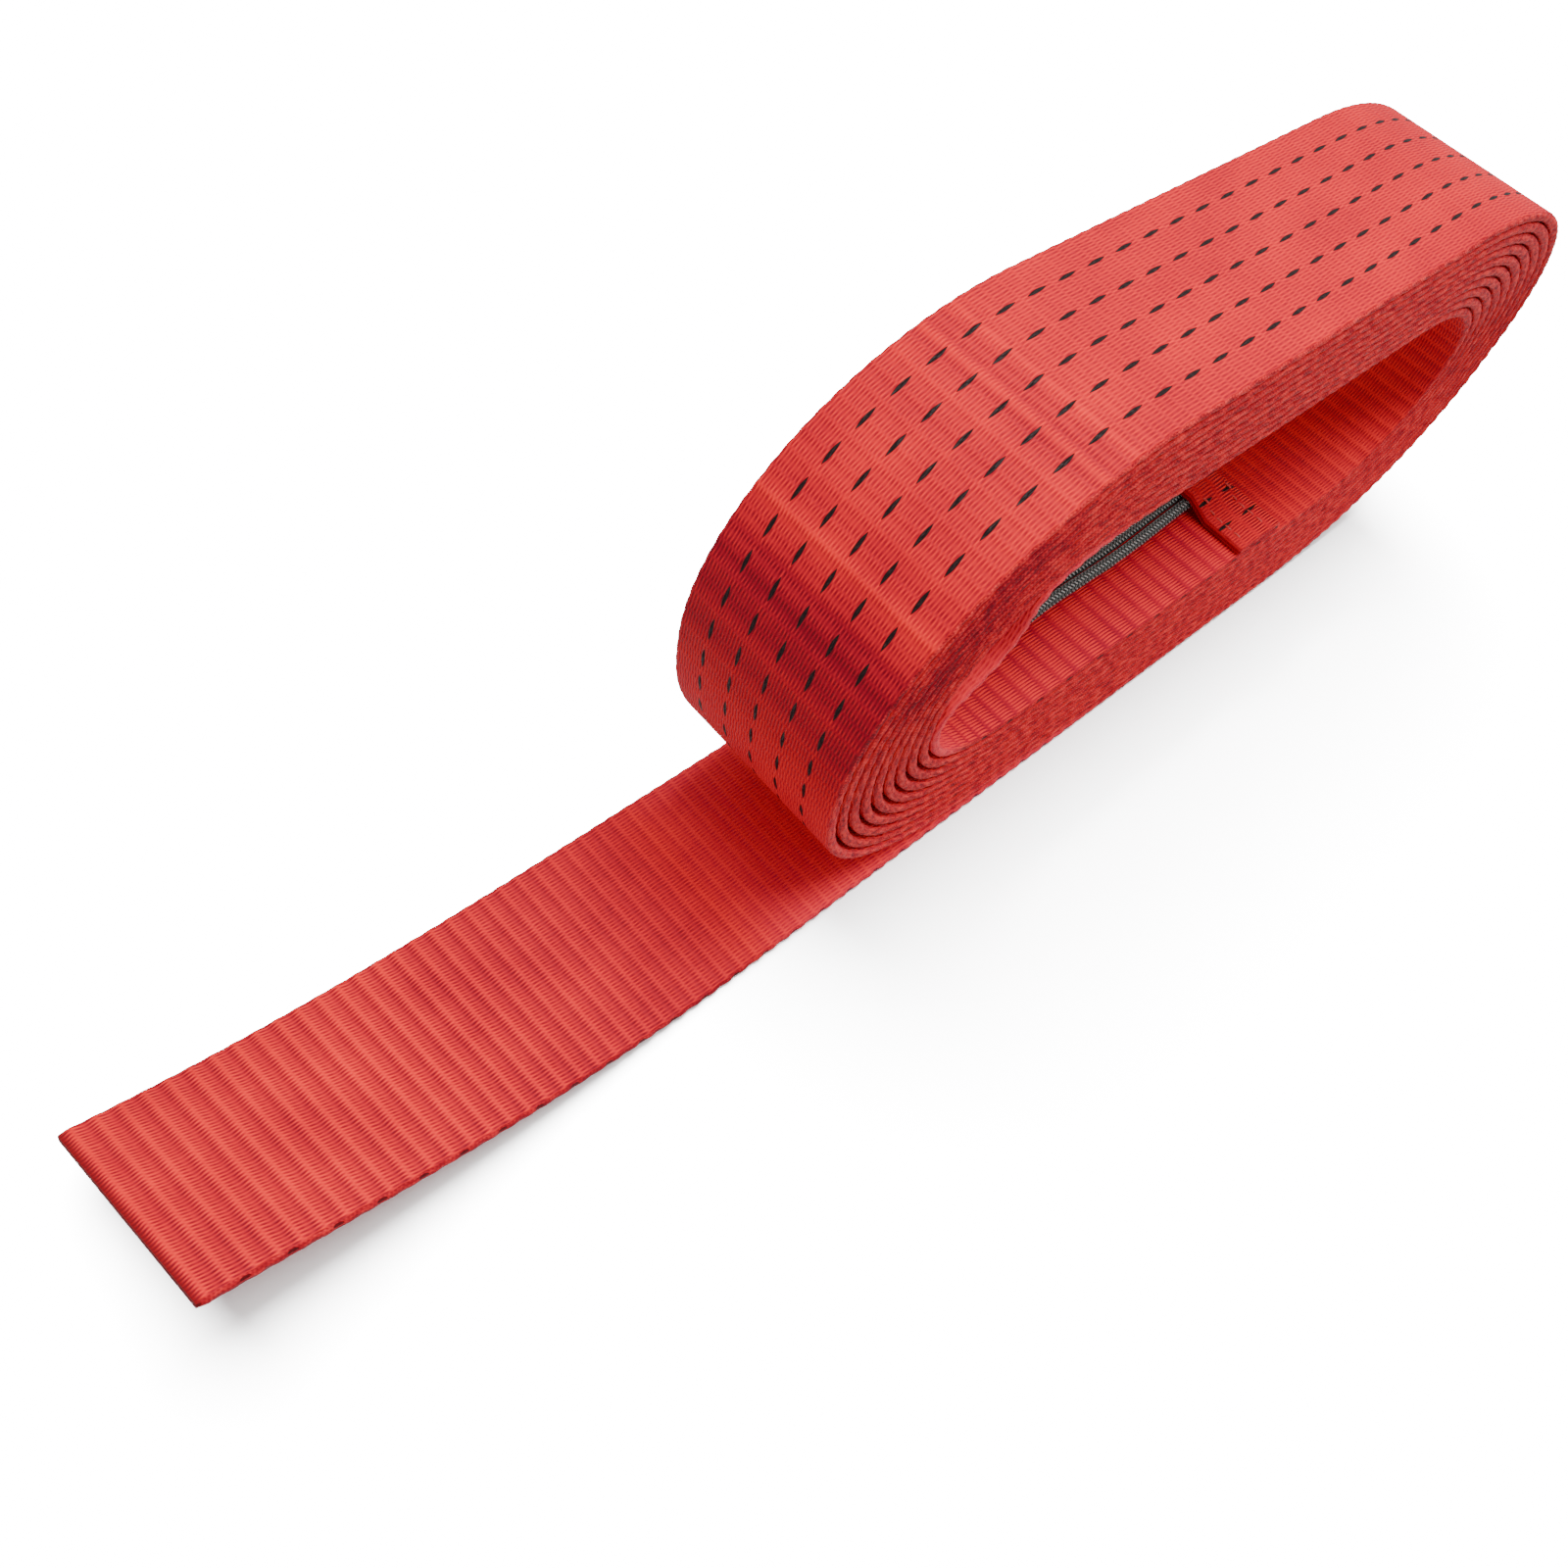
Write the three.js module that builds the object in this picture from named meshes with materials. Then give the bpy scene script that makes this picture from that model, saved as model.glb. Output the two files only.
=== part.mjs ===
// Tow strap: one long 50 mm webbing strap wound into a flattened coil that lies on its own tail,
// with a doubled tie cord lying on the floor of the coil's hollow. Millimetres, +Z up.
// The strap's length runs along X, its width along Y.
import * as THREE from 'three';

// Strap
const strapWidth = 50;
const strapThickness = 2.5;
const turnGap = 0.3;

// Coil: turns, and the clear hollow that the innermost turn leaves open
const turns = 10;
const endSlack = 0.68;
const hollowHeight = 63;
const hollowEndReach = 44.2;
const straightLength = 109.3;
const crownFullness = 2;
const footFullness = 2.4;
const innerTurnLean = 3;
const crownLean = 1.35;
const lipNearSag = 13;
const lipFarSag = 1;
const innerEndLength = 104;

// Tail: the flat run left of the straight, and the curl at its free end, where the near edge
// lifts sooner and higher than the far edge
const tailFlatLength = 100;
const tailCurlLength = 120;
const nearEdgeRise = 28;
const farEdgeRise = 12;

// Tie cord
const cordDiameter = 3;
const cordClearance = 0.3;

// Route of the tie cord over the hollow's floor, as x and y from the left end of the lower straight:
// out from the strap's inner end, round its bight at the left and back beside itself
const cordRoute = [
  [95, -1.7], [84, -1.9], [72, -2.5], [60, -3.2], [48, -3.5], [36, -3.4],
  [26, -3.4], [16, -3.9], [7, -5.2], [-2, -6.3], [-10.5, -5.2],
  [-15.5, 0],
  [-10.5, 5.4], [-2, 6.4], [7, 4.6], [16, 1.7], [26, 0.2],
  [36, 0], [48, 0], [60, 0.4], [72, 1.1], [84, 1.6], [95, 1.8],
];

// Fineness of the faceted outlines
const arcSteps = 18;
const lipArcSteps = 36;
const tailSteps = 12;
const cordSides = 8;
const cordSteps = 64;

// Colours
const strapColour = 0xc9342c;
const cordColour = 0x3a423f;

const pitch = strapThickness + turnGap;

// Stretch of the left end, as fractions of a turn, where the innermost turn sags off the next one
// into a lip, most of all along its near edge
const sagStart = 0.79;
const sagEnd = 0.89;

// Half height and end reach of the innermost and the outermost turn, on the strap's centre line
const innerLoop = {
  height: (hollowHeight + strapThickness) / 2,
  reach: hollowEndReach + strapThickness / 2,
};
const outerLoop = {
  height: innerLoop.height + turns * pitch,
  reach: innerLoop.reach + turns * (pitch + endSlack),
};
const coilCentreZ = strapThickness / 2 + outerLoop.height;

// Point of a closed loop at fraction u, from the left end of its lower straight:
// lower straight, right end, upper straight, left end, a quarter of u each
function loopPoint(loop, u) {
  const section = Math.floor(u * 4) % 4;
  const t = u * 4 - Math.floor(u * 4);
  if (section === 0) {
    return [straightLength * t, -loop.height];
  }
  if (section === 2) {
    return [straightLength * (1 - t), loop.height];
  }
  const side = section === 1 ? 1 : -1;
  const angle = side * (t - 0.5) * Math.PI;
  const fullness = angle < 0 ? footFullness : crownFullness;
  const across = Math.cos(angle) ** (2 / fullness);
  const up = Math.sign(angle) * Math.abs(Math.sin(angle)) ** (2 / fullness);
  const start = section === 1 ? straightLength : 0;
  return [start + side * loop.reach * across, loop.height * up];
}

// Fractions of one turn where the outline has a corner of its facets
function turnFractions(endSteps) {
  const list = [];
  for (let quarter = 0; quarter < 4; quarter += 1) {
    const steps = quarter % 2 === 0 ? 1 : endSteps;
    for (let i = 0; i < steps; i += 1) {
      list.push((quarter + i / steps) / 4);
    }
  }
  return list;
}

// How much of the innermost turn's sag is there after so many turns
function sagShape(turnCount) {
  const t = (turnCount - (turns - 1) - sagStart) / (sagEnd - sagStart);
  return t > 0 && t < 1 ? Math.sin(t * Math.PI) ** 2 : 0;
}

// Place on the wound strap after so many turns: the centre line, which leans to the back a little
// at the crown, and in the inner turns towards the foot
function coilStation(turnCount) {
  const share = Math.min(turnCount / turns, 1);
  const u = turnCount - Math.floor(turnCount);
  const [outerX, outerZ] = loopPoint(outerLoop, u);
  const [innerX, innerZ] = loopPoint(innerLoop, u);
  const [x, z] = [outerX + (innerX - outerX) * share, outerZ + (innerZ - outerZ) * share];
  const shape = sagShape(turnCount);
  const sag = (lipNearSag + lipFarSag) / 2 * shape / Math.hypot(x, z);
  const roll = -Math.asin((lipNearSag - lipFarSag) * shape / strapWidth);
  const height = coilCentreZ + z * (1 - sag);
  const rise = height / (coilCentreZ + outerLoop.height);
  const lean = innerTurnLean * share * (1 - rise) + crownLean * rise ** 2;
  return { x: x * (1 - sag), y: lean, z: height, roll };
}

// The whole strap from the tail's free end to its inner end
function strapStations() {
  const stations = [];
  for (let i = 0; i <= tailSteps; i += 1) {
    const lift = 1 - i / tailSteps;
    const near = nearEdgeRise * lift ** 1.5;
    const far = farEdgeRise * lift ** 3;
    const roll = Math.asin((far - near) / strapWidth);
    stations.push({
      x: -tailFlatLength - tailCurlLength * lift,
      y: strapWidth / 2 * (1 - Math.cos(roll)),
      z: strapThickness / 2 * Math.cos(roll) + (near + far) / 2,
      roll,
    });
  }
  for (let turn = 0; turn < turns; turn += 1) {
    for (const u of turnFractions(turn === turns - 1 ? lipArcSteps : arcSteps)) {
      stations.push(coilStation(turn + u));
    }
  }
  stations.push(coilStation(turns));
  const floor = coilStation(turns);
  stations.push({ ...floor, x: floor.x + innerEndLength });
  return stations;
}

// A ribbon of rectangular section through the stations, as one closed body
function ribbonGeometry(stations, width, thickness) {
  const positions = [];
  const indices = [];
  stations.forEach((station, i) => {
    const before = stations[Math.max(i - 1, 0)];
    const after = stations[Math.min(i + 1, stations.length - 1)];
    const run = new THREE.Vector3(after.x - before.x, 0, after.z - before.z).normalize();
    const across = new THREE.Vector3(0, 1, 0).applyAxisAngle(run, station.roll);
    const up = new THREE.Vector3().crossVectors(run, across);
    const centre = new THREE.Vector3(station.x, station.y, station.z);
    for (const [side, face] of [[-1, -1], [1, -1], [1, 1], [-1, 1]]) {
      const corner = centre.clone()
        .addScaledVector(across, side * width / 2)
        .addScaledVector(up, face * thickness / 2);
      positions.push(corner.x, corner.y, corner.z);
    }
  });
  for (let i = 0; i < stations.length - 1; i += 1) {
    for (let k = 0; k < 4; k += 1) {
      const a = i * 4 + k;
      const b = i * 4 + (k + 1) % 4;
      indices.push(a, b, b + 4, a, b + 4, a + 4);
    }
  }
  const last = (stations.length - 1) * 4;
  indices.push(0, 2, 1, 0, 3, 2);
  indices.push(last, last + 1, last + 2, last, last + 2, last + 3);
  const geometry = new THREE.BufferGeometry();
  geometry.setAttribute('position', new THREE.Float32BufferAttribute(positions, 3));
  geometry.setIndex(indices);
  geometry.computeVertexNormals();
  return geometry;
}

const strap = new THREE.Mesh(
  ribbonGeometry(strapStations(), strapWidth, strapThickness),
  new THREE.MeshStandardMaterial({ color: strapColour, roughness: 0.75, metalness: 0 }),
);
strap.name = 'strap';

// Height of the hollow's floor, which turns up towards the left end
function hollowFloorZ(x) {
  const inset = Math.max(-x, 0) / hollowEndReach;
  const drop = (1 - inset ** footFullness) ** (1 / footFullness);
  return coilCentreZ - drop * hollowHeight / 2;
}

// The tie cord as a round tube along its route, lying on the hollow's floor
function cordGeometry(route, diameter) {
  const raise = cordClearance + diameter / 2;
  const points = route.map(([x, y]) => new THREE.Vector3(x, y, hollowFloorZ(x - raise) + raise));
  const path = new THREE.CatmullRomCurve3(points);
  const section = new THREE.Shape();
  for (let i = 0; i < cordSides; i += 1) {
    const angle = (i + 0.5) / cordSides * 2 * Math.PI;
    const x = diameter / 2 * Math.cos(angle);
    const y = diameter / 2 * Math.sin(angle);
    if (i === 0) {
      section.moveTo(x, y);
    } else {
      section.lineTo(x, y);
    }
  }
  section.closePath();
  return new THREE.ExtrudeGeometry(section, { steps: cordSteps, bevelEnabled: false, extrudePath: path });
}

const tieCord = new THREE.Mesh(
  cordGeometry(cordRoute, cordDiameter),
  new THREE.MeshStandardMaterial({ color: cordColour, roughness: 0.85, metalness: 0 }),
);
tieCord.name = 'tie_cord';

// The origin is at the bottom centre of the strap
const tow = new THREE.Group();
tow.add(strap, tieCord);
strap.geometry.computeBoundingBox();
const box = strap.geometry.boundingBox;
tow.position.set(-(box.min.x + box.max.x) / 2, -(box.min.y + box.max.y) / 2, -box.min.z);
export default tow;
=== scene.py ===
import math

import bpy
import numpy as np
from mathutils import Matrix, Vector


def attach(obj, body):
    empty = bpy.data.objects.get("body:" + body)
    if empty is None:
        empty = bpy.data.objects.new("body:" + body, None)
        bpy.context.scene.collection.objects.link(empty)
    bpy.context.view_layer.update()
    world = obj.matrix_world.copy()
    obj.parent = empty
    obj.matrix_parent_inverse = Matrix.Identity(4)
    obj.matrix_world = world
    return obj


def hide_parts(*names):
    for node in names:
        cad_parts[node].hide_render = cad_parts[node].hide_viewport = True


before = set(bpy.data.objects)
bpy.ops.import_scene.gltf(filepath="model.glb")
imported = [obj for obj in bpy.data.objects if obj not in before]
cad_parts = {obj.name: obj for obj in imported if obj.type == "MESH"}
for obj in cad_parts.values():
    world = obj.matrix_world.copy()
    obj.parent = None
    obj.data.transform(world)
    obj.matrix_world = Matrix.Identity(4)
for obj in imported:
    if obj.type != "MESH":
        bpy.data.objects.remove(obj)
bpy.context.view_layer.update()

# Lengths are worked out in millimetres in the part's own coordinates: the strap's length along X,
# its width along Y, the tail's foot at X = 0 and the floor at Z = 0
MM = 0.001
SHIFT = np.array([16.607, -1.175, 0.0])

# Camera, in millimetres of the row frame
CAMERA_PLACE = (-188.04, -96.94, 276.55)
CAMERA_RIGHT = (0.735656, -0.656925, 0.165108)
CAMERA_UP = (0.494014, 0.687117, 0.532748)
CAMERA_BACK = (-0.463424, -0.310353, 0.830012)
CAMERA_LENS = 30.408

# Strap and coil
STRAP_WIDTH = 50.0
STRAP_THICKNESS = 2.5
TURNS = 10
STRAIGHT = 109.3
INNER_HEIGHT, INNER_REACH = 32.75, 45.45
OUTER_HEIGHT, OUTER_REACH = 60.75, 80.25
COIL_CENTRE = 62.0
FOOT_FULLNESS = 2.4
CROWN_FULLNESS = 2.0
INNER_LEAN = 3.0
CROWN_LEAN = 1.35
LIP_NEAR_SAG, LIP_FAR_SAG = 13.0, 1.0
SAG_START, SAG_LENGTH = 0.79, 0.1
TAIL_FLAT = 100.0
TAIL_CURL = 120.0
NEAR_RISE = 28.0
FAR_RISE = 12.0

# Hem at the strap's inner end, folded back over the two ends of the tie cord
HEM_FOLD_X = 101.3
HEM_FOLD_RADIUS = 1.45
HEM_BACK_X = 84.0
HEM_BULGE = 3.5

# Tie cord, and its route over the floor of the hollow as x and y
CORD_DIAMETER = 3.0
CORD_RAISE = 1.75
CORD_ROUTE = [
    (95, -1.7), (84, -1.9), (72, -2.5), (60, -3.2), (48, -3.5), (36, -3.4),
    (26, -3.4), (16, -3.9), (7, -5.2), (-2, -6.3), (-10.5, -5.2),
    (-15.5, 0),
    (-10.5, 5.4), (-2, 6.4), (7, 4.6), (16, 1.7), (26, 0.2),
    (36, 0), (48, 0), (60, 0.4), (72, 1.1), (84, 1.6), (95, 1.8),
]

# Cross ribs: distance along the strap and the count of ribs there
RIB_PITCH = 4.56
RIB_MARKS = [
    (0.0, -26.46), (120.67, 0.0), (134.4, 3.0), (691.89, 126.0), (701.0, 128.0), (709.91, 130.0),
    (718.77, 132.0), (727.6, 134.0), (736.1, 136.0), (744.54, 138.0), (752.98, 140.0),
    (761.5, 142.0), (770.0, 144.0), (778.3, 146.0), (5879.75, 1267.5), (5884.74, 1268.5),
    (5889.86, 1269.5), (5895.28, 1270.5), (5901.41, 1271.5), (5907.16, 1272.5),
    (5912.6, 1273.5), (5918.65, 1274.5), (5924.9, 1275.5), (5931.2, 1276.5),
    (6030.0, 1293.6),
]


def row(points):
    """Points of the part, in millimetres, as metres of the row frame."""
    return (np.asarray(points, dtype=float) + SHIFT) * MM


def add_camera():
    data = bpy.data.cameras.new("camera")
    data.sensor_width = 36
    data.lens = CAMERA_LENS
    data.clip_start = 0.01
    camera = bpy.data.objects.new("camera", data)
    columns = [Vector(CAMERA_RIGHT), Vector(CAMERA_UP), Vector(CAMERA_BACK)]
    place = Vector(CAMERA_PLACE) * MM
    camera.matrix_world = Matrix([[c[i] for c in columns] + [place[i]] for i in range(3)] + [[0, 0, 0, 1]])
    bpy.context.scene.collection.objects.link(camera)
    bpy.context.scene.camera = camera


def outward(piece):
    """Turns all the faces of a closed piece outwards."""
    bpy.ops.object.select_all(action="DESELECT")
    bpy.context.view_layer.objects.active = piece
    piece.select_set(True)
    bpy.ops.object.mode_set(mode="EDIT")
    bpy.ops.mesh.select_all(action="SELECT")
    bpy.ops.mesh.normals_make_consistent(inside=False)
    bpy.ops.object.mode_set(mode="OBJECT")
    piece.select_set(False)


def add_piece(name, points, faces):
    """A smooth closed piece from points in the part's millimetres, with its faces outwards."""
    mesh = bpy.data.meshes.new(name)
    mesh.from_pydata([tuple(p) for p in row(points)], [], [tuple(int(i) for i in f) for f in faces])
    mesh.update()
    mesh.polygons.foreach_set("use_smooth", [True] * len(mesh.polygons))
    piece = bpy.data.objects.new(name, mesh)
    bpy.context.scene.collection.objects.link(piece)
    outward(piece)
    return piece


def add_values(piece, name, *values):
    """Three numbers at each point of a piece, for its finish to read."""
    stacked = np.stack(np.broadcast_arrays(*values), axis=-1)
    layer = piece.data.attributes.new(name, "FLOAT_VECTOR", "POINT")
    layer.data.foreach_set("vector", stacked.astype(np.float32).ravel())


def tube_faces(rings, sides):
    """Quads between successive closed rings of points."""
    step = np.arange(sides)
    following = (step + 1) % sides
    first = (np.arange(rings - 1) * sides)[:, None]
    corners = [first + step, first + following, first + sides + following, first + sides + step]
    return np.stack(corners, axis=-1).reshape(-1, 4)


def hollow_floor(x):
    """Height of the floor of the coil's hollow, which turns up towards the left end."""
    reach = INNER_REACH - STRAP_THICKNESS / 2
    inset = np.clip(-np.asarray(x, dtype=float) / reach, 0, 1)
    drop = (1 - inset ** FOOT_FULLNESS) ** (1 / FOOT_FULLNESS)
    return COIL_CENTRE - drop * (INNER_HEIGHT - STRAP_THICKNESS / 2)


def smooth_route(points, step):
    """A smooth curve through points, with a point at every step of its length."""
    points = np.asarray(points, dtype=float)
    at = np.r_[0, np.cumsum(np.linalg.norm(np.diff(points, axis=0), axis=1))]
    slope = np.gradient(points, at, axis=0)
    fine = np.linspace(0, at[-1], 4000)
    k = np.clip(np.searchsorted(at, fine, side="right") - 1, 0, len(at) - 2)
    span = (at[k + 1] - at[k])[:, None]
    t = ((fine - at[k])[:, None]) / span
    curve = ((2 * t**3 - 3 * t**2 + 1) * points[k] + (t**3 - 2 * t**2 + t) * span * slope[k]
             + (3 * t**2 - 2 * t**3) * points[k + 1] + (t**3 - t**2) * span * slope[k + 1])
    return even_points(curve, step)


def even_points(curve, step):
    at = np.r_[0, np.cumsum(np.linalg.norm(np.diff(curve, axis=0), axis=1))]
    count = int(round(at[-1] / step)) + 1
    want = np.linspace(0, at[-1], count)
    return np.stack([np.interp(want, at, curve[:, i]) for i in range(curve.shape[1])], axis=1)


# Braid of the cord: sides and ring spacing of its mesh, strands of each hand, the length in which
# a strand goes once round, and how deep the strands lie between their crowns
CORD_SIDES = 32
CORD_STEP = 0.3
BRAID_STRANDS = 5
BRAID_PITCH = 6.6
BRAID_RELIEF = 0.14


def braid_radius(around, length):
    """Radius of the round braid, whose strands of one hand go over and under those of the other."""
    right = BRAID_STRANDS * around + length / BRAID_PITCH * BRAID_STRANDS
    left = BRAID_STRANDS * around - length / BRAID_PITCH * BRAID_STRANDS
    over = (np.floor(right) + np.floor(left)) % 2 == 0
    crown = np.where(over, np.abs(np.sin(np.pi * right)), np.abs(np.sin(np.pi * left)))
    return CORD_DIAMETER / 2 - BRAID_RELIEF * (1 - crown ** 0.6)


def add_braid_map(cord):
    """UV map of the cord: share of the way round it, and millimetres along it."""
    layer = cord.data.uv_layers.new(name="braid")
    corner = np.zeros(len(cord.data.loops), dtype=int)
    cord.data.loops.foreach_get("vertex_index", corner)
    ring, place = np.divmod(corner, CORD_SIDES)
    start = np.zeros(len(cord.data.polygons), dtype=int)
    total = np.zeros(len(cord.data.polygons), dtype=int)
    cord.data.polygons.foreach_get("loop_start", start)
    cord.data.polygons.foreach_get("loop_total", total)
    quad = start[total == 4][:, None] + np.arange(4)
    wraps = (place[quad].max(axis=1) == CORD_SIDES - 1) & (place[quad].min(axis=1) == 0)
    wrapped = quad[wraps]
    place[wrapped] = np.where(place[wrapped] == 0, CORD_SIDES, place[wrapped])
    uv = np.column_stack([place / CORD_SIDES, ring * CORD_STEP])
    layer.data.foreach_set("uv", uv.ravel())


def add_tie_cord():
    """The braided cord along its route, and the line of its ring centres."""
    flat = smooth_route(CORD_ROUTE, 0.5)
    height = hollow_floor(flat[:, 0] - CORD_RAISE) + CORD_RAISE
    line = even_points(np.column_stack([flat, height]), CORD_STEP)
    run = np.gradient(line, axis=0)
    run /= np.linalg.norm(run, axis=1)[:, None]
    side = np.cross(run, [0, 0, 1.0])
    side /= np.linalg.norm(side, axis=1)[:, None]
    up = np.cross(side, run)
    along = np.arange(len(line)) * CORD_STEP
    turn = np.arange(CORD_SIDES) / CORD_SIDES
    around, length = np.meshgrid(turn, along)
    radius = braid_radius(around, length)
    angle = 2 * math.pi * around
    points = (line[:, None] + side[:, None] * (radius * np.cos(angle))[..., None]
              + up[:, None] * (radius * np.sin(angle))[..., None])
    faces = tube_faces(len(line), CORD_SIDES).tolist()
    last = (len(line) - 1) * CORD_SIDES
    faces.append(list(range(CORD_SIDES - 1, -1, -1)))
    faces.append([last + i for i in range(CORD_SIDES)])
    cord = add_piece("braided_tie_cord", points.reshape(-1, 3), faces)
    add_braid_map(cord)
    return cord, line


def loop_points(height, reach, u):
    """Points of a closed loop at fractions u of a turn, from the left end of its lower straight."""
    quarter = np.floor(u * 4).astype(int) % 4
    t = u * 4 - np.floor(u * 4)
    side = np.where(quarter == 1, 1, -1)
    angle = side * (t - 0.5) * np.pi
    fullness = np.where(angle < 0, FOOT_FULLNESS, CROWN_FULLNESS)
    x = np.where(quarter == 1, STRAIGHT, 0) + side * reach * np.clip(np.cos(angle), 0, 1) ** (2 / fullness)
    z = height * np.sign(angle) * np.abs(np.sin(angle)) ** (2 / fullness)
    x = np.where(quarter == 0, STRAIGHT * t, np.where(quarter == 2, STRAIGHT * (1 - t), x))
    z = np.where(quarter == 0, -height, np.where(quarter == 2, height, z))
    return x, z


# How finely the centre line is worked out
TAIL_POINTS = 2000
FLAT_POINTS = 200
TURN_POINTS = 4000
INNER_END_POINTS = 400
HEM_POINTS = 60


def strap_line():
    """Centre line of the strap from the tail's free end to its hem: x, y, z and roll."""
    lift = np.linspace(1, 0, TAIL_POINTS, endpoint=False)
    near = NEAR_RISE * lift**1.5
    far = FAR_RISE * lift**3
    roll = np.arcsin((far - near) / STRAP_WIDTH)
    half = STRAP_THICKNESS / 2
    tail = np.column_stack([
        -TAIL_FLAT - TAIL_CURL * lift, STRAP_WIDTH / 2 * (1 - np.cos(roll)),
        half * np.cos(roll) + (near + far) / 2, roll,
    ])
    flat_x = np.linspace(-TAIL_FLAT, 0, FLAT_POINTS, endpoint=False)
    flat = np.column_stack([flat_x, 0 * flat_x, 0 * flat_x + half, 0 * flat_x])
    count = np.linspace(0, TURNS, TURNS * TURN_POINTS + 1)
    share = count / TURNS
    u = count - np.floor(count)
    outer_x, outer_z = loop_points(OUTER_HEIGHT, OUTER_REACH, u)
    inner_x, inner_z = loop_points(INNER_HEIGHT, INNER_REACH, u)
    x = outer_x + (inner_x - outer_x) * share
    z = outer_z + (inner_z - outer_z) * share
    t = np.clip((u - SAG_START) / SAG_LENGTH, 0, 1)
    shape = np.where(count > TURNS - 1, np.sin(t * np.pi) ** 2, 0)
    sag = (LIP_NEAR_SAG + LIP_FAR_SAG) / 2 * shape / np.hypot(x, z)
    roll = -np.arcsin((LIP_NEAR_SAG - LIP_FAR_SAG) * shape / STRAP_WIDTH)
    height = COIL_CENTRE + z * (1 - sag)
    rise = height / (COIL_CENTRE + OUTER_HEIGHT)
    lean = INNER_LEAN * share * (1 - rise) + CROWN_LEAN * rise**2
    coil = np.column_stack([x * (1 - sag), lean, height, roll])
    foot = coil[-1]
    end_x = np.linspace(0, HEM_FOLD_X, INNER_END_POINTS)[1:]
    fold = np.linspace(0, np.pi, HEM_POINTS)[1:]
    back_x = np.linspace(HEM_FOLD_X, HEM_BACK_X, HEM_POINTS)[1:]
    profile = np.vstack([
        np.column_stack([end_x, 0 * end_x]),
        np.column_stack([HEM_FOLD_X + HEM_FOLD_RADIUS * np.sin(fold), HEM_FOLD_RADIUS * (1 - np.cos(fold))]),
        np.column_stack([back_x, 0 * back_x + 2 * HEM_FOLD_RADIUS]),
    ])
    along, over = profile.T
    hem = np.column_stack([along, 0 * along + foot[1], foot[2] + over, 0 * along])
    return np.vstack([tail, flat, coil, hem])


# Stations along the strap: close where its faces or its ends show
FINE_STEP = 0.74
COARSE_STEP = 1.55
FINE_STRETCHES = [(0, 245), (320, 892), (5390, 6040)]

# Stretches of the strap: start, end and soft length, in millimetres from the tail's free end
TAIL_RIBS = (0, 205, 25)
TAIL_CURLED = (0, 70, 50)
TAIL_MIDDLE = (85, 130, 22)
TAIL_BY_COIL = (148, 240, 22)
TAIL_EDGES = (0, 240, 10)
OUTER_TURN = (330, 880, 8)
LEFT_END = (784, 880, 14)
INNER_TURN = (5440, 5860, 10)
LIP = (5790, 5862, 10)
HOLLOW_FLOOR = (5870, 6010, 12)
HOLLOW_EDGES = (5880, 6100, 10)

# Where shade is painted below the coil's left shoulder, and where the turns inside the outer one begin
SHOULDER_START, SHOULDER_RISE = 736, 8
SHOULDER_END, SHOULDER_FALL = 774, 14
INNER_TURNS_START = 900

# Place of the groove beside each rib's crest, as a share of the rib pitch
GROOVE_PHASE = 0.36

# Section of the webbing: points across its faces, where the faces end, and its rounded edges
FACE_ACROSS = np.array([-24.0, -12.0, -5.0, 5.0, 12.0, 24.0])
FACE_END = 24.2
EDGE_RADIUS = 0.7
EDGE_SHARE = 0.87

# Faces that close the section's ring of points at the strap's two ends
END_FACES = [
    [0, 1, 13, 14], [1, 2, 12, 13], [2, 3, 11, 12], [3, 4, 10, 11], [4, 5, 9, 10], [5, 6, 8, 9],
    [6, 7, 8], [0, 14, 15, 17], [15, 16, 17],
]

# Hem: half the width of its swell over the cord, and of the slope at the swell's sides
BULGE_HALF_WIDTH = 13
BULGE_SLOPE = 8.5


def strap_stations(length):
    marks = [0.0]
    for start, end in FINE_STRETCHES:
        start, end = max(start, marks[-1]), min(end, length)
        if start > marks[-1]:
            count = int(round((start - marks[-1]) / COARSE_STEP))
            marks.extend(np.linspace(marks[-1], start, count + 1)[1:])
        count = int(round((end - start) / FINE_STEP))
        marks.extend(np.linspace(start, end, count + 1)[1:])
    return np.array(marks)


def window(s, start, end, soft):
    """1 between start and end, falling to 0 over the soft length outside them."""
    return np.clip((s - start) / soft + 1, 0, 1) * np.clip((end - s) / soft + 1, 0, 1)


def hump(s, centre, width):
    """1 at the centre, falling to 0 on both sides of it."""
    return np.exp(-((s - centre) / width) ** 2)


def hem_bulge(across):
    """How far the hem swells over the cord's ends, at places across the strap."""
    share = np.clip((BULGE_HALF_WIDTH - np.abs(across)) / BULGE_SLOPE, 0, 1)
    return HEM_BULGE * share**2 * (3 - 2 * share)


# Slight creases across the outer face: place, width, and height, or below 0 how deep; they also paint
# highlight and shade into the outer face's colour
CREASES = [
    (676.5, 1.3, 0.08), (680.9, 1.1, 0.20), (684.0, 1.0, -0.08), (686.9, 1.0, -0.16), (688.9, 0.9, 0.20),
    (691.2, 1.1, -0.16), (696.0, 1.6, 0.10), (702.0, 1.5, -0.06), (722.0, 1.6, 0.08), (727.0, 1.2, -0.10),
    (731.9, 1.2, 0.20), (736.5, 1.4, -0.10), (740.6, 1.3, -0.20), (746.2, 1.8, -0.18), (753.0, 1.6, -0.12),
    (757.5, 1.4, 0.08), (762.0, 1.4, -0.08), (766.2, 1.4, 0.06),
]

# Line on the coil's near side, as x and z, along which shade is painted darkest on the turns' near edges
# under the lip
PAINTED_SHADE_LINE = [(-59.8, 80.5), (-54.3, 85.3), (-49.1, 93.8), (-46.2, 102.5), (-39.2, 106.6)]
PAINTED_SHADE_REACH = 8.0


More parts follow.
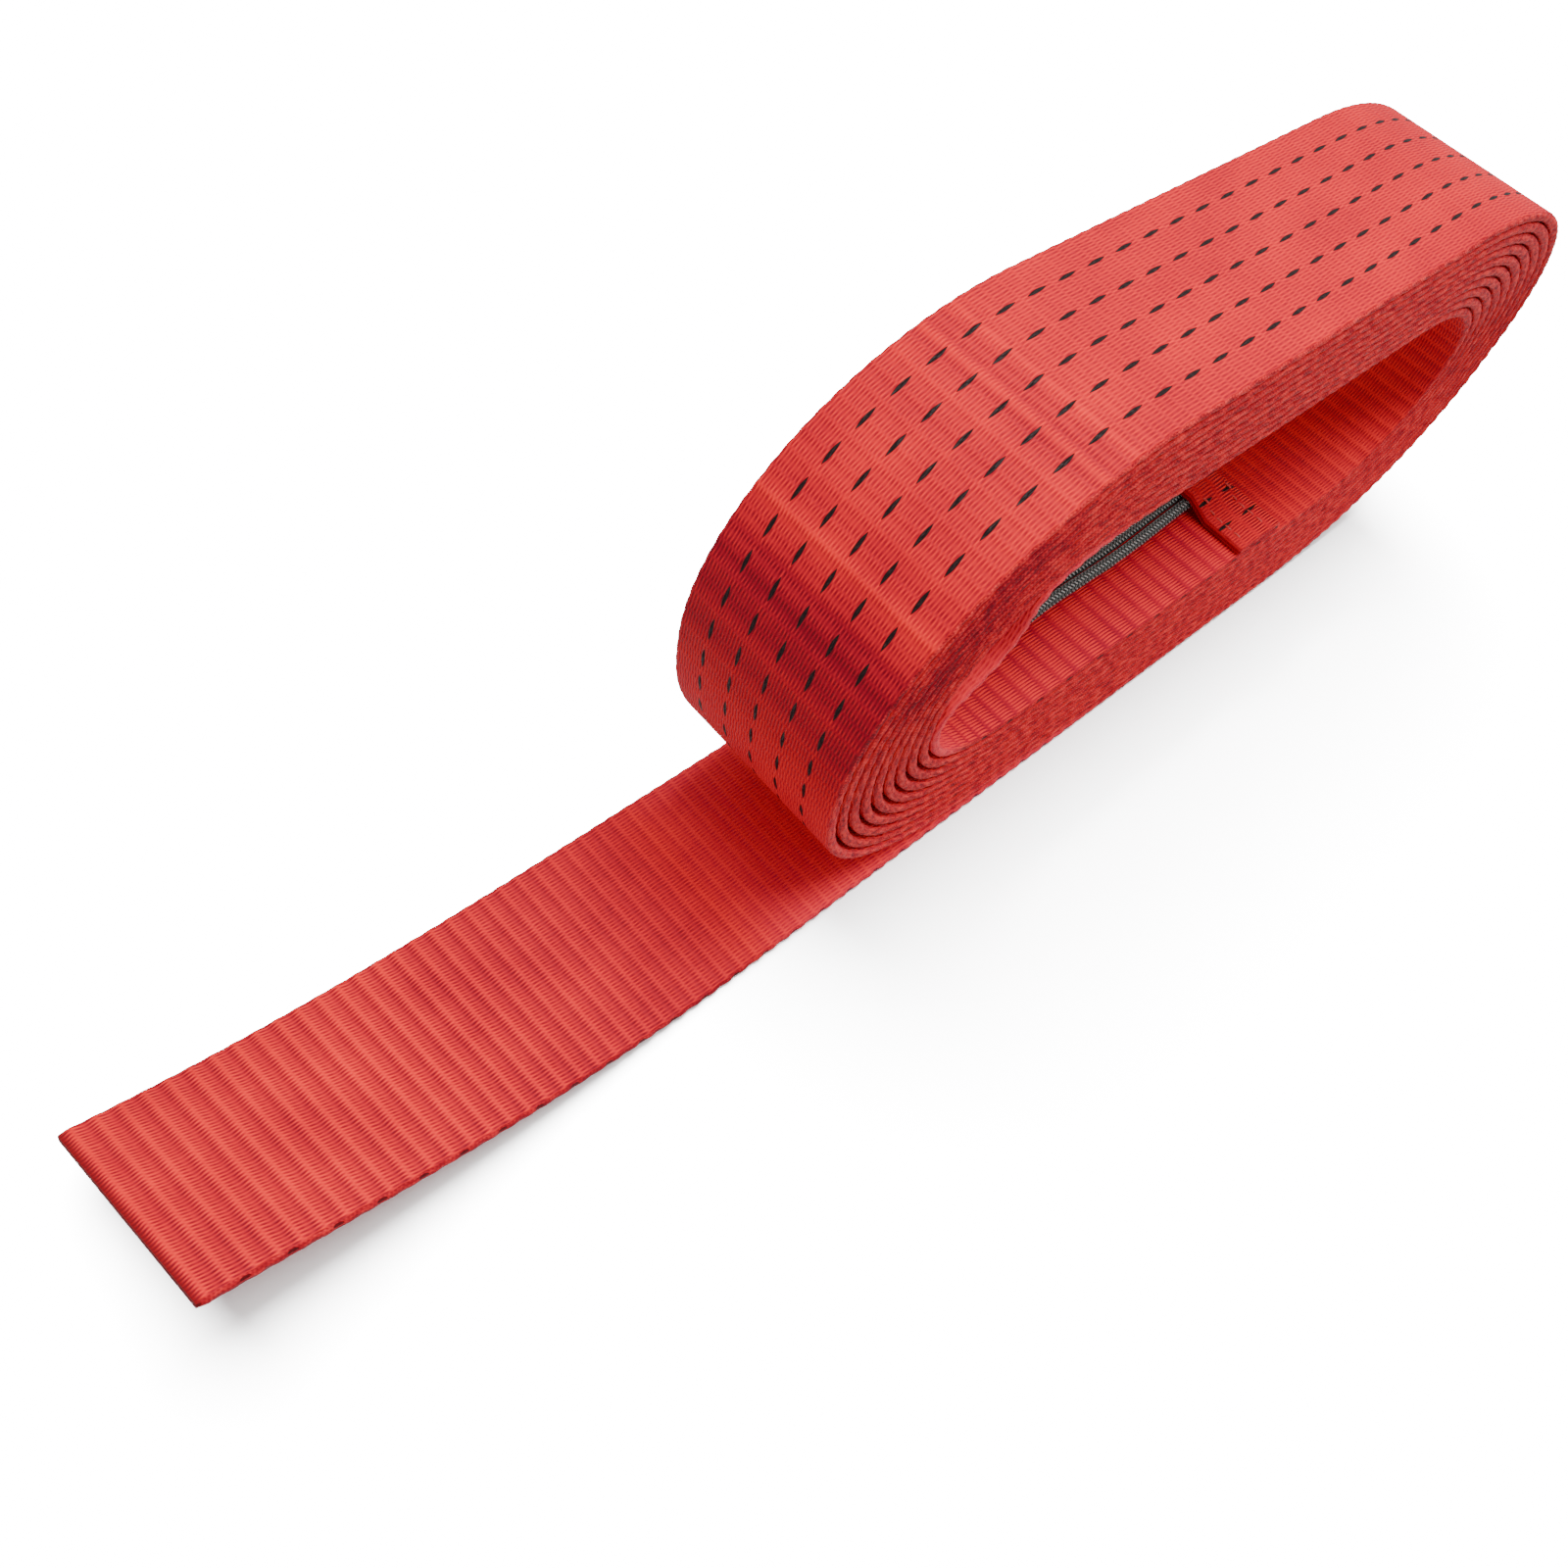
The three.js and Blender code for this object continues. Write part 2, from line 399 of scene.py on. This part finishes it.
def painted_shade_share(points):
    """1 on the line of painted shade on the coil's near side, falling to 0 about it."""
    flat = points[..., [0, 2]]
    nearest = np.full(flat.shape[:-1], 1e9)
    for start, end in zip(np.array(PAINTED_SHADE_LINE[:-1]), np.array(PAINTED_SHADE_LINE[1:])):
        step = end - start
        t = np.clip(((flat - start) @ step) / (step @ step), 0, 1)
        nearest = np.minimum(nearest, np.linalg.norm(flat - start - t[..., None] * step, axis=-1))
    return np.exp(-(nearest / PAINTED_SHADE_REACH) ** 2)


def strap_section():
    """Ring of points round the webbing's section: places across it, and heights over its middle."""
    half = STRAP_THICKNESS / 2
    corner = STRAP_WIDTH / 2 - EDGE_RADIUS / 2
    edge = [(corner, -EDGE_SHARE * half), (STRAP_WIDTH / 2, 0.0), (corner, EDGE_SHARE * half)]
    ring = ([(a, -half) for a in FACE_ACROSS] + edge + [(a, half) for a in FACE_ACROSS[::-1]]
            + [(-a, h) for a, h in edge[::-1]])
    return np.array(ring).T


def strap_directions(line, at, s):
    """Centre of the strap and its directions across and up, at each station."""
    centre = np.stack([np.interp(s, at, line[:, i]) for i in range(3)], axis=1)
    roll = np.interp(s, at, line[:, 3])
    slope = np.gradient(line[:, [0, 2]], at, axis=0)
    run = np.stack([np.interp(s, at, slope[:, i]) for i in range(2)], axis=1)
    run /= np.linalg.norm(run, axis=1)[:, None]
    rise = np.column_stack([-run[:, 1], 0 * roll, run[:, 0]])
    level = np.array([0, 1.0, 0])
    across = level * np.cos(roll)[:, None] + rise * np.sin(roll)[:, None]
    up = rise * np.cos(roll)[:, None] - level * np.sin(roll)[:, None]
    return centre, across, up


def rib_relief(s, ribs, in_hollow):
    """Height of the ribs on the inner and the outer face, and how far they push the edges out."""
    wave = np.cos(2 * np.pi * ribs)
    valley = hump((ribs + GROOVE_PHASE) % 1, 0.5, 0.14)
    band = np.abs(np.sin(np.pi * ribs)) ** 0.7
    on_tail, tail_curl, inner_turn = (window(s, *part) for part in (TAIL_RIBS, TAIL_CURLED, INNER_TURN))
    inner = (on_tail * (0.06 * wave - 0.12 * valley) + tail_curl * 0.22 * wave
             + in_hollow * (0.42 * band - 0.34) + inner_turn * 0.10 * wave)
    outer = window(s, *OUTER_TURN) * 0.02 * wave
    scallop = 0.14 * wave - 0.04 - in_hollow * 0.34 * (1 - band)
    return inner, outer, scallop


def painted_shade_and_light(s, a, points):
    """Painted shade, and below 0 painted light: darker below the coil's left shoulder where the strap kinks,
    over the tail's middle and on the turns' near edges under the lip; paler on the tail under the coil, at
    the lip and at the coil's left end.
    """
    shoulder = (np.clip((s - SHOULDER_START) / SHOULDER_RISE, 0, 1)
                * np.clip((SHOULDER_END - s) / SHOULDER_FALL, 0, 1))
    along = (0.9 * shoulder - window(s, *TAIL_BY_COIL) + 0.45 * window(s, *TAIL_MIDDLE)
             - 1.2 * window(s, *LIP) - 0.3 * window(s, *LEFT_END))
    near_side = (a < -FACE_END) * (s > INNER_TURNS_START)[:, None]
    return along[:, None] + painted_shade_share(points) * near_side


def add_strap():
    """The whole strap as one closed piece, and its length."""
    line = strap_line()
    at = np.r_[0, np.cumsum(np.linalg.norm(np.diff(line[:, :3], axis=0), axis=1))]
    s = strap_stations(at[-1])
    centre, across, up = strap_directions(line, at, s)
    ribs = np.interp(s, *np.array(RIB_MARKS).T)
    a, h = strap_section()[:, None]
    sides = a.shape[1]

    in_hollow = window(s, *HOLLOW_FLOOR)
    inner, outer, scallop = rib_relief(s, ribs, in_hollow)
    crease = sum(deep * hump(s, place, wide) for place, wide, deep in CREASES)
    outer = outer + crease
    half = STRAP_THICKNESS / 2
    on_face = np.abs(a) < FACE_END
    near_fade = 1 - 0.55 * (a < -20) * (1 - in_hollow[:, None])
    top = np.clip(h / half, 0, 1) ** 2 * on_face * near_fade
    bottom = np.clip(-h / half, 0, 1) ** 2 * on_face
    edge = np.sign(a) * np.clip((np.abs(a) - FACE_END) / (STRAP_WIDTH / 2 - FACE_END), 0, 1)
    sealed_end = (1 - 0.35 * hump(s, 0, 1.2))[:, None]
    height = (h + inner[:, None] * top - outer[:, None] * bottom) * sealed_end
    width = a + scallop[:, None] * edge
    points = centre[:, None] + across[:, None] * width[..., None] + up[:, None] * height[..., None]
    fold_at = at[-1] - (HEM_FOLD_X - HEM_BACK_X)
    flap = np.clip((s - fold_at - 1) / 3, 0, 1)[:, None]
    points[..., 2] += flap * hem_bulge(a)

    last = (len(s) - 1) * sides
    faces = tube_faces(len(s), sides).tolist() + END_FACES + [[last + i for i in face] for face in END_FACES]
    strap = add_piece("strap_webbing", points.reshape(-1, 3), faces)
    open_edge = np.maximum(window(s, *TAIL_EDGES), window(s, *HOLLOW_EDGES))
    curl = window(s, *TAIL_CURLED)
    add_values(strap, "weave", ribs[:, None], a, h)
    add_values(strap, "place", s[:, None] + 0 * a, in_hollow[:, None], open_edge[:, None])
    # The last values are the crease heights, the painted shade and light, and the tail's curl
    add_values(strap, "folds", crease[:, None], painted_shade_and_light(s, a, points), curl[:, None])
    return strap, at[-1]


class Signal:
    """A number that varies over a surface: a formula on it adds the nodes that work it out."""

    def __init__(self, finish, socket):
        self.finish = finish
        self.socket = socket

    def math(self, operation, *others):
        made = self.finish.node("Math", {"operation": operation}, dict(enumerate([self, *others])))
        return Signal(self.finish, made.outputs[0])

    def __add__(self, other):
        return self.math("ADD", other)

    __radd__ = __add__

    def __mul__(self, other):
        return self.math("MULTIPLY", other)

    __rmul__ = __mul__

    def __sub__(self, other):
        return self.math("SUBTRACT", other)

    def __rsub__(self, other):
        return (self * -1.0) + other

    def __truediv__(self, other):
        return self.math("DIVIDE", other)

    def __pow__(self, other):
        return self.math("POWER", other)

    def sine(self):
        return self.math("SINE")

    def size(self):
        return self.math("ABSOLUTE")

    def nearest(self):
        return self.math("ROUND")

    def least(self, other):
        return self.math("MINIMUM", other)

    def most(self, other):
        return self.math("MAXIMUM", other)

    def step(self, low, high):
        """0 at low and 1 at high, with a smooth rise between them."""
        sockets = {"Value": self, "From Min": low, "From Max": high}
        made = self.finish.node("MapRange", {"interpolation_type": "SMOOTHSTEP"}, sockets)
        return Signal(self.finish, made.outputs[0])


class Finish:
    """A material as it is made: each call adds a node and joins it to what it is given."""

    def __init__(self, name):
        self.material = bpy.data.materials.new(name)
        self.material.use_nodes = True
        self.tree = self.material.node_tree
        self.tree.nodes.clear()

    def node(self, kind, settings=None, sockets=None):
        made = self.tree.nodes.new("ShaderNode" + kind)
        for key, value in (settings or {}).items():
            if key == "stops":
                for place, colour in value[2:]:
                    made.color_ramp.elements.new(place)
                for stop, (place, colour) in zip(made.color_ramp.elements, value):
                    stop.position = place
                    stop.color = (*colour, 1)
            else:
                setattr(made, key, value)
        for key, value in (sockets or {}).items():
            if isinstance(value, Signal):
                self.tree.links.new(value.socket, made.inputs[key])
            elif isinstance(value, bpy.types.NodeSocket):
                self.tree.links.new(value, made.inputs[key])
            else:
                made.inputs[key].default_value = value
        return made

    def value(self, kind, settings=None, sockets=None, output=0):
        return Signal(self, self.node(kind, settings, sockets).outputs[output])

    def parts(self, socket):
        split = self.node("SeparateXYZ", None, {0: socket})
        return [Signal(self, output) for output in split.outputs]

    def noise(self, x, y, z, scale=1.0, detail=2.0):
        joined = self.node("CombineXYZ", None, {0: x, 1: y, 2: z})
        return self.value("TexNoise", None, {"Vector": joined.outputs[0], "Scale": scale, "Detail": detail})

    def blend(self, factor, first, second):
        made = self.node("Mix", {"data_type": "RGBA"}, {0: factor, 6: first, 7: second})
        return made.outputs[2]

    def ramp(self, factor, stops):
        return self.node("ValToRGB", {"stops": stops}, {0: factor}).outputs[0]

    def close(self, shader):
        self.node("OutputMaterial", None, {0: shader.outputs[0]})
        return self.material


# Weave: pitch of the lengthwise thread marks, pitch of the selvedge's loops, twist of the sewing
# thread, and the heights between which a face turns into an edge
TICK = 0.87
LOOP = 0.9
THREAD_TWIST = 9000.0
FACE_FROM, FACE_TO = 0.95, 1.2

# Black dashes: gap between their five rows, half their length and width, and their slant
DASH_ROW_GAP = 8.25
DASH_HALF_LENGTH = 3.1
DASH_HALF_WIDTH = 0.52
DASH_SLANT = 0.055

# Dark pick in the selvedge: half its length and height, and its height over the middle
PICK_HALF_LENGTH = 1.2
PICK_HALF_HEIGHT = 0.5
PICK_HEIGHT = 0.2


def webbing_finish():
    """Woven cross ribs of fine lengthwise threads, five rows of black dashes on the outer face,
    and a knitted selvedge with a dark pick at every second rib."""
    f = Finish("woven_red_webbing")
    ribs, across, high = f.parts(f.node("Attribute", {"attribute_name": "weave"}).outputs["Vector"])
    run, hollow, open_edge = f.parts(f.node("Attribute", {"attribute_name": "place"}).outputs["Vector"])
    crease, painted_shade, curl = f.parts(f.node("Attribute", {"attribute_name": "folds"}).outputs["Vector"])
    length = ribs * RIB_PITCH
    upper = high.step(FACE_FROM, FACE_TO)
    lower = (high * -1.0).step(FACE_FROM, FACE_TO)
    face = upper + lower
    edge = 1 - face

    wobble = f.noise(length * 0.22, across * 0.3, high, detail=1.0)
    slow = f.noise(length * 0.05, across * 0.06, 3.0, detail=2.0)
    grain = f.noise(length * 0.7, across * 2.4, high, detail=3.0)
    phase = across / TICK + length * 0.02 + wobble * 0.6
    tick = (phase * (2 * math.pi)).sine()
    turn = ribs * math.pi
    flat_float = turn.sine() + (turn * 3.0).sine() * 0.5
    ticks = tick * (flat_float * (1 - hollow) + turn.sine() * 1.5 * hollow)
    wave = (turn * 2.0 + math.pi / 2).sine() * 0.5 + 0.5
    crest = wave ** 3.0
    groove = ((turn * 2.0 + (GROOVE_PHASE * 2 * math.pi + math.pi / 2)).sine() * 0.5 + 0.5) ** 4.0

    column = (ribs * 0.5).nearest() * 2.0
    dash_run = (ribs - column) * RIB_PITCH
    row_mark = (across / DASH_ROW_GAP).nearest().most(-2.0).least(2.0) * DASH_ROW_GAP
    dash_side = across - row_mark + dash_run * DASH_SLANT
    fill = (1 - (dash_run / DASH_HALF_LENGTH) ** 2.0).most(0.0)
    dash = (fill * DASH_HALF_WIDTH - dash_side.size()).step(-0.07, 0.09) * fill.step(0.0, 0.12) * lower
    thread = (0.30 - dash_side.size()).step(-0.1, 0.2) * lower * (1 - dash)

    # Painted highlight on the ribs' crests and painted shade in their grooves, on the tail, the outer face
    # and in the hollow
    rib_painted_light_and_shade = (crest * (0.04 + curl * 0.16) * (upper + lower * 0.3)
                  + wave ** 10.0 * (1 - curl) * upper * 0.06 - groove * (0.10 + curl * 0.06) * upper)
    hollow_painted_light_and_shade = (wave ** 1.4 * -0.44 + (turn * 2.0).sine() * 0.09 + 0.33) * upper
    # Painted highlight and shade: the creases on the outer face, and the stretches darkened or paled along
    # the strap
    shade = (0.53 + rib_painted_light_and_shade * (1 - hollow) + hollow_painted_light_and_shade * hollow
             + ticks * (0.24 + curl * 0.10 + hollow * 0.20) * face + crease * 0.8 * lower - painted_shade * 0.25
             + (grain - 0.5) * 0.4 + (slow - 0.5) * 0.35 + thread * 0.06)
    cloth = f.ramp(shade, [
        (0.0, (0.15, 0.0010, 0.009)), (0.35, (0.35, 0.004, 0.015)),
        (0.6, (0.57, 0.008, 0.014)), (1.0, (0.88, 0.026, 0.018)),
    ])

    loop_turn = (length * (2 * math.pi / LOOP) + high * 2.6 + wobble * 6.0).sine()
    row_turn = (high * 4.4 + wobble * 3.0).sine()
    knots = f.noise(length * 0.42, high * 1.7, across * 0.02, detail=3.0)
    # Painted shade in the gaps between stacked turns, and the painted shade and light along the strap
    painted_shade_between_turns = high.size().step(0.85, 1.25)
    knit = (row_turn * loop_turn * 0.20 + (knots - 0.5) * 2.0 + 0.58 - painted_shade_between_turns * 0.24 - painted_shade * 0.28
            - open_edge * 0.22)
    selvedge = f.ramp(knit, [
        (0.0, (0.12, 0.0007, 0.007)), (0.3, (0.25, 0.002, 0.010)),
        (0.55, (0.46, 0.009, 0.015)), (1.0, (0.76, 0.040, 0.034)),
    ])
    pick_run = ((ribs * 0.5 + 0.25).nearest() * 2.0 - 0.5 - ribs) * RIB_PITCH
    pick_rise = (high - PICK_HEIGHT) / PICK_HALF_HEIGHT
    pick_size = (1 - (pick_run / PICK_HALF_LENGTH) ** 2.0 - pick_rise ** 2.0).step(0.0, 0.5)
    pick = pick_size * edge * (0.25 + open_edge * 0.6)
    colour = f.blend(edge * (0.95 - open_edge * 0.25), cloth, selvedge)
    colour = f.blend(pick, colour, (0.05, 0.001, 0.003, 1))
    # Painted light: a pink tint where the strap is painted paler and on the inner face in the hollow
    painted_light_tint = (painted_shade * -0.04).most(0.0) + hollow * upper * 0.02
    colour = f.blend(painted_light_tint, colour, (0.9, 0.08, 0.45, 1))
    sealed = (1.6 - run).step(0.0, 1.4)
    colour = f.blend(sealed * 0.7, colour, (0.16, 0.004, 0.006, 1))
    # Painted sheen: lighter grey streaks across the black dashes
    painted_sheen_streak = f.noise(length * 0.9, across * 9.0, 1.0, detail=1.0)
    ink_with_painted_sheen = f.blend(painted_sheen_streak.step(0.5, 0.75) * 0.5, (0.008, 0.004, 0.004, 1), (0.07, 0.04, 0.04, 1))
    colour = f.blend(dash, colour, ink_with_painted_sheen)

    relief = (ticks * 0.55 * face + (grain - 0.5) * 0.5 + crest * 0.2 + (knit - 0.5) * edge * 0.9
              + dash * 0.5 - pick * 1.2)
    bump = f.node("Bump", None, {"Strength": 0.8, "Distance": 0.0002, "Height": relief})
    shader = f.node("BsdfPrincipled", None, {
        "Base Color": colour, "Roughness": 0.62 - dash * 0.15 + (grain - 0.5) * 0.2,
        "Normal": bump.outputs[0], "Specular IOR Level": 0.10,
    })
    return f.close(shader)


def braid_finish():
    """Dark grey strands with pale flecks painted as highlights where they come to the top."""
    f = Finish("braided_grey_cord")
    around, along, _ = f.parts(f.node("UVMap", {"uv_map": "braid"}).outputs[0])
    right = (around + along / BRAID_PITCH) * BRAID_STRANDS
    left = (around - along / BRAID_PITCH) * BRAID_STRANDS
    cell = (right.math("FLOOR") + left.math("FLOOR")).math("MODULO", 2.0).size()
    over = 1 - cell
    fine = f.noise(right * 3.0, left * 3.0, over, detail=2.0)
    crown = (right * math.pi).sine().size() * over + (left * math.pi).sine().size() * (1 - over)
    thread = ((right * over + left * (1 - over)) * (6 * math.pi)).sine()
    # Painted highlight on the strands' crowns
    light = (crown * 0.9 + thread * 0.08 + fine * 0.5).step(0.84, 1.12) * (0.35 + over * 0.65)
    colour = f.blend(light, (0.007, 0.013, 0.012, 1), (0.42, 0.48, 0.455, 1))
    height = crown + thread * 0.2
    bump = f.node("Bump", None, {"Strength": 0.6, "Distance": 0.00012, "Height": height})
    shader = f.node("BsdfPrincipled", None, {
        "Base Color": colour, "Roughness": 0.6 - crown * 0.1,
        "Normal": bump.outputs[0], "Specular IOR Level": 0.25,
    })
    return f.close(shader)


def stitch_finish():
    """Twisted red thread."""
    f = Finish("red_sewing_thread")
    x, y, _ = f.parts(f.node("TexCoord").outputs["Object"])
    twist = ((x + y) * THREAD_TWIST).sine() * 0.5 + 0.5
    colour = f.blend(twist, (0.30, 0.010, 0.012, 1), (0.62, 0.05, 0.04, 1))
    bump = f.node("Bump", None, {"Strength": 0.5, "Distance": 0.00008, "Height": twist})
    shader = f.node("BsdfPrincipled", None, {
        "Base Color": colour, "Roughness": 0.5 + twist * 0.1, "Normal": bump.outputs[0],
    })
    return f.close(shader)


# Light: strength of the surroundings, and power in watts, place and size in metres of the two lamps
WORLD = 0.80
KEY_POWER, KEY_PLACE, KEY_SIZE = 28, (0.22, -0.10, 1.25), 0.9
FLOOR_POWER, FLOOR_LIGHT_PLACE, FLOOR_LIGHT_SIZE = 620, (0.2, 0.52, 1.45), 1.5

# Floor: how pale it is seen, how pale it is for the light that it throws back, and its size
SEEN_FLOOR = 0.95
BOUNCE = 0.5
BOUNCE_HEIGHT = -0.0002
FLOOR_SIZE = 8

# Stitches across the hem: places of the rows, their span and the gap that they leave over the cord,
# and each stitch's length, radius, bow, sides and rings
STITCH_ROWS = [87.0, 97.5]
STITCH_COUNT = 14
STITCH_SPAN = 44
STITCH_GAP = 5.2
STITCH_LENGTH = 2.6
STITCH_RADIUS = 0.32
STITCH_BOW, STITCH_SINK = 0.16, 0.06
STITCH_SIDES, STITCH_RINGS = 8, 7
HEM_LEAN = INNER_LEAN * 0.76


def add_stitches():
    """Two rows of straight stitches across the hem, each a thread bowed up out of the webbing."""
    points, faces = [], []
    sides, rings = STITCH_SIDES, STITCH_RINGS
    face_height = COIL_CENTRE - INNER_HEIGHT + 2 * HEM_FOLD_RADIUS + STRAP_THICKNESS / 2
    for x in STITCH_ROWS:
        for k in range(STITCH_COUNT):
            y = (k + 0.5) / STITCH_COUNT * STITCH_SPAN - STITCH_SPAN / 2
            if abs(y) < STITCH_GAP:
                continue
            base = len(points)
            for i in range(rings):
                t = i / (rings - 1) * 2 - 1
                lift = STITCH_BOW * (1 - t * t) - STITCH_SINK
                radius = STITCH_RADIUS * math.sqrt(max(1 - t**4, 0.02))
                for j in range(sides):
                    angle = 2 * math.pi * j / sides
                    points.append((
                        x + radius * math.cos(angle), y + HEM_LEAN + t * STITCH_LENGTH / 2,
                        face_height + hem_bulge(y) + lift + radius * math.sin(angle),
                    ))
            faces.extend((tube_faces(rings, sides) + base).tolist())
            faces.append([base + j for j in range(sides)])
            faces.append([base + (rings - 1) * sides + j for j in range(sides)])
    return add_piece("hem_stitches", points, faces)


def stage_plane(name, height, pale):
    """A large plain floor, with a faint mottle."""
    bpy.ops.object.select_all(action="DESELECT")
    bpy.ops.mesh.primitive_plane_add(size=FLOOR_SIZE, location=(0, 0, 0))
    plane = bpy.context.object
    plane.name = name
    for vertex in plane.data.vertices:
        vertex.co.z = height
    f = Finish(name)
    x, y, z = f.parts(f.node("TexCoord").outputs["Object"])
    mottle = f.noise(x, y, z, scale=120.0, detail=3.0)
    tone = f.blend(mottle, (*[pale - 0.01] * 3, 1), (*[pale] * 3, 1))
    shader = f.node("BsdfPrincipled", None, {"Base Color": tone, "Roughness": 0.8})
    plane.data.materials.append(f.close(shader))
    return plane


def add_floor():
    """The pale floor that is seen, and just under it the one that throws light back on the strap."""
    floor = stage_plane("floor", 0.0, SEEN_FLOOR)
    for kind in ("diffuse", "glossy", "transmission", "shadow"):
        setattr(floor, "visible_" + kind, False)
    bounce = stage_plane("floor_bounce", BOUNCE_HEIGHT, BOUNCE)
    bounce.visible_camera = False
    return floor


def add_light(name, place, size, power, lights_only=None):
    """A round lamp that points at the origin, and lights one object only if it is given one."""
    data = bpy.data.lights.new(name, "AREA")
    data.shape = "DISK"
    data.size = size
    data.energy = power
    light = bpy.data.objects.new(name, data)
    place = Vector(place)
    light.location = place
    light.rotation_euler = (-place).to_track_quat("-Z", "Y").to_euler()
    bpy.context.scene.collection.objects.link(light)
    if lights_only:
        lit = bpy.data.collections.new(name + "_on")
        lit.objects.link(lights_only)
        light.light_linking.receiver_collection = lit


def add_world(strength):
    """Even white surroundings."""
    world = bpy.data.worlds.new("studio")
    world.use_nodes = True
    background = world.node_tree.nodes["Background"]
    background.inputs["Color"].default_value = (1, 1, 1, 1)
    background.inputs["Strength"].default_value = strength
    bpy.context.scene.world = world


add_camera()
cord, cord_line = add_tie_cord()
cord.data.materials.append(braid_finish())
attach(cord, "root")
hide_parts("tie_cord")

strap, strap_length = add_strap()
strap.data.materials.append(webbing_finish())
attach(strap, "root")
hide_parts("strap")

stitches = add_stitches()
stitches.data.materials.append(stitch_finish())
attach(stitches, "root")

floor = add_floor()
add_world(WORLD)
add_light("key_light", KEY_PLACE, KEY_SIZE, KEY_POWER)
add_light("floor_light", FLOOR_LIGHT_PLACE, FLOOR_LIGHT_SIZE, FLOOR_POWER, floor)
